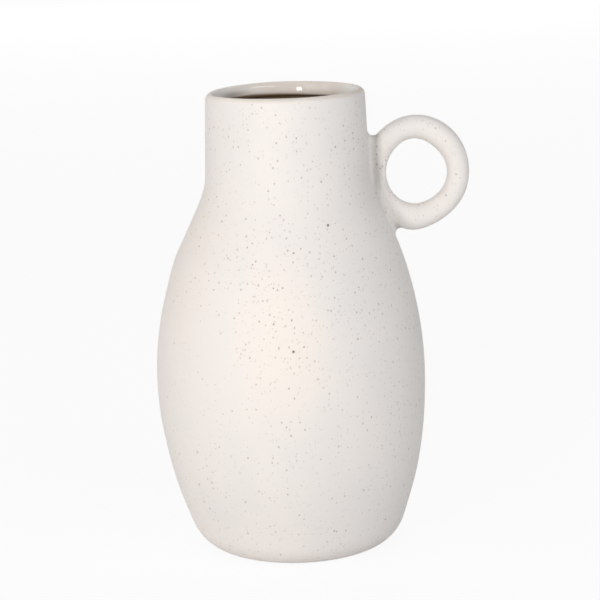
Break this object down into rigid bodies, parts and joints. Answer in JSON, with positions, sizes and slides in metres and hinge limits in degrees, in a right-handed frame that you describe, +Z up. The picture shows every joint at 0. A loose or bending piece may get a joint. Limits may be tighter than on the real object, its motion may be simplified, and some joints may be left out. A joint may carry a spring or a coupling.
{
  "type": "ring-handled vase",
  "caption": "Round stoneware vase with a wide belly, a straight neck, a thick rolled lip and one closed ring handle at the side.",
  "frame": {"origin": "middle of the flat foot, on the surface that the vase stands on, on the axis of the foot and the neck", "axes": "+Z up out of the mouth, +X towards the ring handle, the XZ plane through the middle of the ring"},
  "size_m": [0.1733, 0.1472, 0.25],
  "materials": {
    "speckled_clay": "matt, fired stoneware with iron speckles",
    "joining_slip": "matt, sponged slip",
    "greige_glaze": "glossy glaze"
  },
  "bodies": {
    "root": {"body_pot": "speckled_clay", "neck_collar": "speckled_clay", "ring_handle": "speckled_clay", "shoulder_slip_seam": "joining_slip", "handle_slip_bead": "joining_slip", "glaze_lining": "greige_glaze"}
  },
  "joints": []
}
